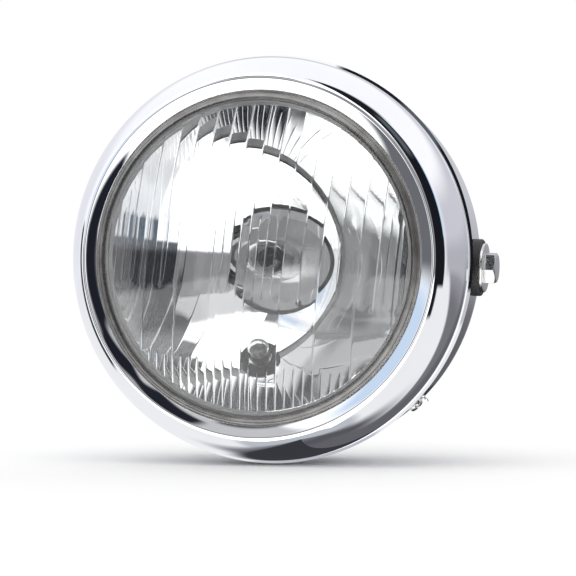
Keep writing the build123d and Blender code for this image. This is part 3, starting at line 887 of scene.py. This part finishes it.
# seal between lens, reflector and rim
sealSizes = {
    "inner": 75.4,
    "outer": 80.0,
    "front": -48.4,
    "back": -42.1,
    "leg": 1.0,
    "wall": 1.5,
    "round": 0.35,
}


def makeSeal():
    inner, outer, leg, wall = (sealSizes[key] for key in ("inner", "outer", "leg", "wall"))
    front, back, size = sealSizes["front"], sealSizes["back"], sealSizes["round"]
    groove = outer - wall
    corners = [(inner, front), (outer, front), (outer, back), (inner, back), (inner, back - leg)]
    corners += [(groove, back - leg), (groove, front + leg), (inner, front + leg)]
    seal = turned("lensSeal", soften(corners, [size] * 5 + [0, 0, size], 3), 192)
    return dress(seal, "lens_seal", sealRubberPaintedLight)


makeSeal()


# reflector dish
dishSizes = {
    "focal": 28.0,
    "vertex": -2.7356,
    "mouth": 67.9,
    "flange": 78.5,
    "front": -43.9,
    "neck": 24.0,
    "neckLength": 4.0,
    "shade": 25.3,  # the painted shade on the dish ends a little outside the neck
    "hole": 19.5,
    "sheet": 0.8,
    "turn": 4.0,
    "parkingHole": (46.0, 6.5),
}


def dishAt(radius):
    return dishSizes["vertex"] - radius * radius / (4 * dishSizes["focal"])


def makeDish():
    sheet, neck, hole = dishSizes["sheet"], dishSizes["neck"], dishSizes["hole"]
    mouth, front, focal = dishSizes["mouth"], dishSizes["front"], dishSizes["focal"]
    shift = sheet * sqrt(1 + (mouth / (2 * focal)) ** 2)
    backMouth = sqrt(4 * focal * (dishSizes["vertex"] + shift - front - sheet))
    seat = dishAt(neck) + dishSizes["neckLength"]
    count = 44
    radii = [mouth + (dishSizes["shade"] - mouth) * index / count for index in range(count + 1)] + [neck]
    backRadii = [neck + sheet + (backMouth - neck - sheet) * index / count for index in range(count + 1)]
    points = [(dishSizes["flange"], front), (mouth + 2.5, front), (mouth + 0.5, front + 0.03)]
    points += [(r, dishAt(r)) for r in radii]
    points += [(neck - 0.25, dishAt(neck) + 0.35), (neck - 0.25, seat - 0.4), (neck - 0.7, seat)]
    points += [(hole, seat), (hole, seat + sheet), (neck + sheet, seat + sheet)]
    points += [(r, dishAt(r) + shift) for r in backRadii]
    points += [(dishSizes["flange"], front + sheet)]
    dish = turned("reflectorDish", points, 288)
    dish.data.materials.append(mirrorCoat)
    dish.data.materials.append(neckPaintedShade)
    # faces on the neck wall and edge get the painted shade, standing in for the dark gap and shadow at the
    # neck
    for face in dish.data.polygons:
        reach = hypot(face.center.x, face.center.z)
        atNeck = (neck - 0.4) * mm < reach < dishSizes["shade"] * mm
        face.material_index = 1 if atNeck and face.center.y < seat * mm else 0
    spot, size = dishSizes["parkingHole"]
    bpy.ops.mesh.primitive_cylinder_add(vertices=64, radius=size * mm, depth=3 * size * mm)
    punch = nameNew("hole")
    punch.rotation_euler = Vector((0, -2 * focal, spot)).to_track_quat("Z", "X").to_euler()
    punch.location = (0, dishAt(spot) * mm, -spot * mm)
    cutBy(dish, settle(punch))
    swung(dish, -dishSizes["turn"])
    return dress(dish, "reflector", mirrorCoat, 25)


makeDish()
print("seal and reflector made")


# main bulb: thin clear shell on a foot painted near black, painted shade for the dark hollow inside the bulb
bulbSizes = {
    "radius": 8.8,
    "tip": -37.0785,
    "base": -10.0785,
    "straight": 9,
    "round": 4.8,
    "wall": 0.7,
    "foot": (8.0, 5.0),  # radius and height of the foot, painted near black as painted shade for the bulb's shaded inside
}


def makeBulb():
    radius, tip, base = bulbSizes["radius"], bulbSizes["tip"], bulbSizes["base"]
    wall, size = bulbSizes["wall"], bulbSizes["round"]
    footRadius, footHeight = bulbSizes["foot"]
    top = base - bulbSizes["straight"]
    outer = [(0, tip)] + bow((radius - size, tip + size), size, -90, 0, 12) + [(radius, top), (radius, base)]
    inner = [(radius - wall, base), (radius - wall, top)]
    inner += bow((radius - size, tip + size), size - wall, 0, -90, 10) + [(0, tip + wall)]
    bulb = turned("bulbGlass", outer + inner, 96, closed=False)
    bulb.data.materials.append(bulbGlass)
    footTop, bevel = base - footHeight, 1.2
    section = [(0, footTop), (footRadius - bevel, footTop), (footRadius, footTop + bevel)]
    foot = turned("bulbFootPaintedShade", section + [(footRadius, base), (0, base)], 64, closed=False)
    foot.data.materials.append(bulbFootPaintedShade)
    joinUp(bulb, [foot])
    return dress(bulb, "bulb_glass", bulbGlass)


makeBulb()


# parking bulb low in the dish
parkingSizes = {
    "spot": 46.0,
    "radius": 4.7,
    "from": 2.1,
    "length": 10.5,
    "round": 4.2,
    "wall": 0.6,
    "foot": (3.8, 4.0),  # radius and height of the foot, painted near black as painted shade inside the bulb
}


def makeParkingBulb():
    reach, low = parkingSizes["radius"], parkingSizes["from"]
    end, size, wall = low + parkingSizes["length"], parkingSizes["round"], parkingSizes["wall"]
    middle = (reach - size, end - size)
    outer = [(reach, low), (reach, end - size)] + bow(middle, size, 0, 90, 12)[1:] + [(0, end)]
    inner = [(0, end - wall)] + bow(middle, size - wall, 90, 0, 10) + [(reach - wall, low)]
    bulb = turned("parkingBulb", outer + inner, 64, closed=True)
    bulb.data.materials.append(bulbGlass)
    # the foot is painted near black, painted shade for the dark inside of the parking bulb
    footRadius, footHeight = parkingSizes["foot"]
    footTop = low + footHeight
    section = [(0, low), (footRadius, low), (footRadius, footTop), (0, footTop)]
    foot = turned("parkingFoot", section, 48, closed=False)
    foot.data.materials.append(bulbFootPaintedShade)
    joinUp(bulb, [foot])
    focal = dishSizes["focal"]
    spot = parkingSizes["spot"]
    bulb.rotation_euler = Vector((0, -2 * focal, spot)).to_track_quat("Y", "Z").to_euler()
    bulb.location = (0, dishAt(spot) * mm, -spot * mm)
    settle(bulb)
    swung(bulb, -dishSizes["turn"])
    return dress(bulb, "parking_bulb", bulbGlass)


makeParkingBulb()
print("bulbs made")


# side bolts with steel and rubber washers
boltSizes = {
    "head": (95.0, 100.3),
    "corner": 7.506,
    "face": 6.0,
    "chamfer": 30,
    "shank": (3.95, 75.0),
    "ease": 0.18,
    "washer": {"radius": 11.2, "hole": 4.3, "from": 93.5, "to": 95.0, "round": 0.35},
    "rubber": {"radius": 13.0, "hole": 4.3, "to": 93.5, "round": 0.8},
}


def headTurn():
    corner = max(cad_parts["side_bolt_right"].data.vertices, key=lambda v: hypot(v.co.y, v.co.z)).co
    return atan2(corner.z, corner.y)


def makeBolt():
    start, end = boltSizes["head"]
    corner, flat = boltSizes["corner"], boltSizes["face"]
    letGo()
    bpy.ops.mesh.primitive_cylinder_add(
        vertices=6,
        radius=corner * mm,
        depth=(end - start) * mm,
        rotation=(0, pi / 2, 0),
        location=((start + end) / 2 * mm, 0, 0),
    )
    bolt = settle(nameNew("sideBolt"))
    now = max(bolt.data.vertices, key=lambda v: hypot(v.co.y, v.co.z)).co
    bolt.rotation_euler = (headTurn() - atan2(now.z, now.y), 0, 0)
    settle(bolt)
    drop = (corner - flat) * tan(radians(boltSizes["chamfer"]))
    section = [(start - 1, 0), (start - 1, corner + 1), (end - drop, corner + 0.02), (end, flat), (end, 0)]
    cutBy(bolt, turnedOnX("chamfer", section, 128, closed=False), keep=True)
    easeEdges(bolt, boltSizes["ease"], 3, 12)
    size, foot = boltSizes["shank"]
    section = [(foot, 0), (foot, size - 0.6), (foot + 0.6, size), (start, size), (start, 0)]
    shank = turnedOnX("shank", section, 48, closed=False)
    joinUp(bolt, [shank])
    bolt.name = "sideBoltRight"
    return bolt


def makeWasher():
    sizes = boltSizes["washer"]
    start, end, hole, reach = (sizes[key] for key in ("from", "to", "hole", "radius"))
    section = [(start, hole), (start, reach), (end, reach), (end, hole)]
    return turnedOnX("flatWasherRight", soften(section, [0.1, 0.15, sizes["round"], 0.2], 4), 128)


def makeRubber():
    # its underside keeps to the bowl's curve and the pad, as the solid does
    sizes, pad = boltSizes["rubber"], bowlSizes["pad"]
    gap = 0.3
    bowlR, bend = bowlSizes["radius"] + gap, bowlSizes["shoulder"] + gap
    foot, end, hole, reach = 80, sizes["to"], sizes["hole"], sizes["radius"]  # the foot is cut off below
    section = [(foot, reach), (end, reach), (end, hole), (pad["face"], hole)]
    section += [(pad["face"], pad["radius"] + gap), (foot, pad["radius"] + gap)]
    rubber = turnedOnX("rubberWasherRight", soften(section, [0, sizes["round"], 0.2, 0, 0, 0], 5), 128)
    front, straightEnd = bowlSizes["front"] - 5, bowlSizes["straightEnd"]
    points = [(0, front), (bowlR, front), (bowlR, straightEnd)]
    points += bow((bowlR - bend, straightEnd), bend, 0, bowlSizes["turn"], 24)[1:] + [(0, 50)]
    return cutBy(rubber, turned("core", points, 288, closed=False))


for make, node, finish, slotName, angle in (
    (makeBolt, "side_bolt", platedSteel, "plated_steel", 8),
    (makeWasher, "flat_washer", platedSteel, "plated_steel", 15),
    (makeRubber, "rubber_washer", blackRubber, "black_rubber", 30),
):
    right = make()
    left = leftCopy(right, right.name.replace("Right", "Left"))
    dress(right, node + "_right", finish, angle)
    dress(left, node + "_left", finish, angle)
print("side bolts made")


# rim screws
screwSizes = {
    "seat": 91.6,
    "radius": 3.6,
    "height": 2.4,
    "round": 1.7,
    "slot": (1.0, 1.1),  # width and depth
    "shank": (1.95, 10.0),  # radius and length
    "depth": -9.0,
    "angle": -43.5,
}


def makeScrew():
    seat, reach, height, size = (screwSizes[key] for key in ("seat", "radius", "height", "round"))
    top = seat + height
    crown = [(x, r) for r, x in bow((reach - size, top - size), size, 0, 90, 10)]
    section = [(seat, 0), (seat, reach)] + crown + [(top, 0)]
    screw = turnedOnX("rimScrewRight", section, 64, closed=False)
    width, depth = screwSizes["slot"]
    letGo()
    bpy.ops.mesh.primitive_cube_add(size=1)
    slot = nameNew("slot")
    slot.scale = Vector((2 * depth, 4 * reach, width)) * mm
    slot.location = (top * mm, 0, 0)
    cutBy(screw, settle(slot))
    easeEdges(screw, 0.12, 2, 40)
    shankR, length = screwSizes["shank"]
    section = [(seat - length, 0), (seat - length, shankR), (seat, shankR), (seat, 0)]
    shank = turnedOnX("screwShank", section, 32, closed=False)
    joinUp(screw, [shank])
    screw.name = "rimScrewRight"
    screw.location = (0, screwSizes["depth"] * mm, 0)
    settle(screw)
    return swung(screw, screwSizes["angle"])


screwRight = makeScrew()
screwLeft = leftCopy(screwRight, "rimScrewLeft")
dress(screwRight, "rim_screw_right", platedSteel)
dress(screwLeft, "rim_screw_left", platedSteel)


# cable grommet in the middle of the back
cableSizes = {"bore": 6.5, "sleeve": 9.7, "flange": 14.0, "thick": 3.0, "round": 1.1}


def makeCableGrommet():
    low, high = (corner.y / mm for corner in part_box("harness_grommet"))
    bore, sleeve, flange, thick = (cableSizes[key] for key in ("bore", "sleeve", "flange", "thick"))
    size = cableSizes["round"]
    corners = [(bore, low), (flange, low), (flange, low + thick), (sleeve, low + thick)]
    corners += [(sleeve, high - thick), (flange, high - thick), (flange, high), (bore, high)]
    grommet = turned("cableGrommet", soften(corners, [0.8, size, 0.3, 0, 0, 0.3, size, 0.8], 6), 128)
    return dress(grommet, "harness_grommet", blackRubber)


makeCableGrommet()
print("screws and grommet made")


# solids that stay, in their finishes
keptFinishes = {
    "unit_clips": springSteel,
    "bulb_base": bulbMetal,
    "bulb_terminals": terminalBrass,
    "bulb_lock_ring": springSteel,
    "bulb_boot": blackRubber,
    "parking_holder": bulbMetal,
    "parking_grommet": blackRubber,
    "weld_nut_left": platedSteel,
    "weld_nut_right": platedSteel,
    "clip_nut_left": springSteel,
    "clip_nut_right": springSteel,
}
for node, finish in keptFinishes.items():
    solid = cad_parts[node]
    if not solid.material_slots:
        solid.data.materials.append(finish)
    for materialSlot in solid.material_slots:
        materialSlot.material = finish
print("kept solids dressed")
